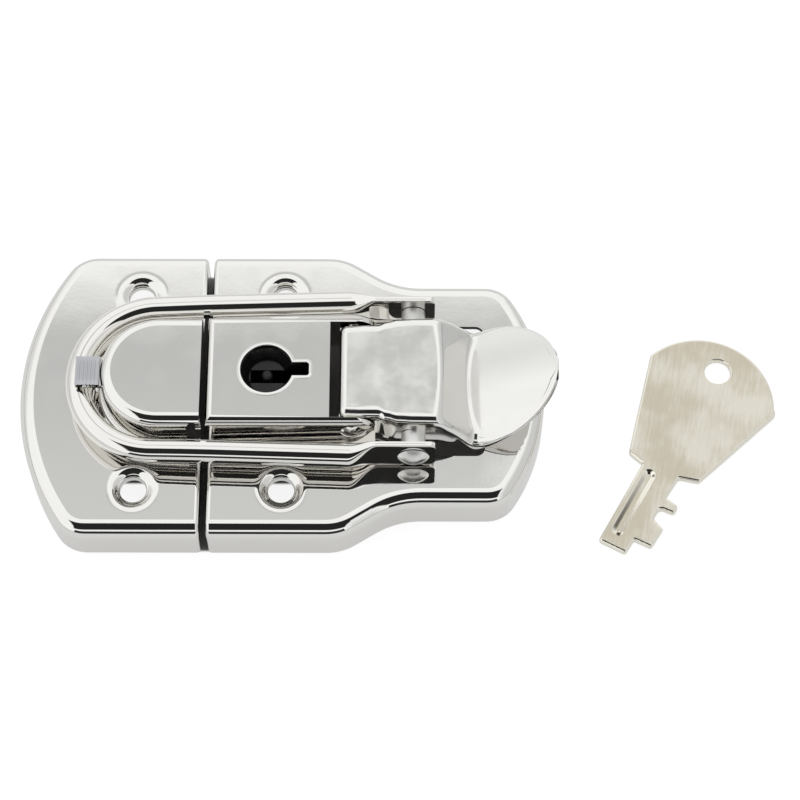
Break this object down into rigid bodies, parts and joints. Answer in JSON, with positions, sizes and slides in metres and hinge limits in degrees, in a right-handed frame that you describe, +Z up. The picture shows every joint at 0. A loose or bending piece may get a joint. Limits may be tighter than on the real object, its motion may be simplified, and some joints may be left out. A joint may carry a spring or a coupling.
{
  "type": "locking draw latch",
  "caption": "Key-locking draw latch of pressed chromed sheet: a lever pulls a bail behind the hook of a separate keeper plate, and a bolt locks the lever's nose.",
  "frame": {"origin": "on the keyhole's axis, in the plane that the two plates are screwed to", "axes": "+X from the keeper to the thumb tab, +Y across the latch, +Z up from the mounting surface"},
  "size_m": [0.1278, 0.0534, 0.0181],
  "materials": {
    "chromed_sheet": "polished",
    "chromed_rivet": "polished",
    "cast_lock": "matt",
    "lock_steel": "plain",
    "black_plastic": "gloss",
    "nickel_key": "satin"
  },
  "bodies": {
    "latch_base": {"keeper_plate": "chromed_sheet", "base_plate": "chromed_sheet", "lever_pivot_near": "chromed_rivet", "lever_pivot_far": "chromed_rivet", "lock_body": "cast_lock", "lock_top": "cast_lock", "ward_plate": "lock_steel", "bolt_spring": "lock_steel", "lock_cover": "lock_steel", "key_post": "lock_steel", "cover_screw_1": "lock_steel", "cover_screw_2": "lock_steel", "cover_screw_3": "lock_steel", "cover_screw_4": "lock_steel"},
    "lever": {"lever": "chromed_sheet", "bail_pivot_near": "chromed_rivet", "bail_pivot_far": "chromed_rivet"},
    "bail": {"bail": "chromed_sheet"},
    "rotor": {"lock_rotor": "black_plastic"},
    "bolt": {"lock_bolt": "lock_steel"},
    "key": {"key": "nickel_key"}
  },
  "joints": [
    {"name": "lever_swing", "type": "hinge", "parent": "latch_base", "child": "lever", "pos_m": [0.0143, 0, 0.0128], "axis": [0, -1, 0], "range_deg": [0, 80]},
    {"name": "bail_swing", "type": "hinge", "parent": "lever", "child": "bail", "pos_m": [0.0242, 0, 0.0119], "axis": [0, -1, 0], "range_deg": [-67.2, 0]},
    {"name": "rotor_turn", "type": "hinge", "parent": "latch_base", "child": "rotor", "pos_m": [0, 0, 0.013], "axis": [0, 0, 1], "range_deg": [0, 90]},
    {"name": "bolt_slide", "type": "slide", "parent": "latch_base", "child": "bolt", "axis": [1, 0, 0], "range_m": [0, 0.0044]},
    {"name": "key_lift", "type": "slide", "parent": "latch_base", "child": "key", "axis": [0, 0, 1], "range_m": [0, 0.02]}
  ],
  "couplings": [
    {"joint": "bail_swing", "follows": "lever_swing", "ratio": -0.8375},
    {"joint": "rotor_turn", "follows": "bolt_slide", "rad_per_m": 356.99}
  ]
}
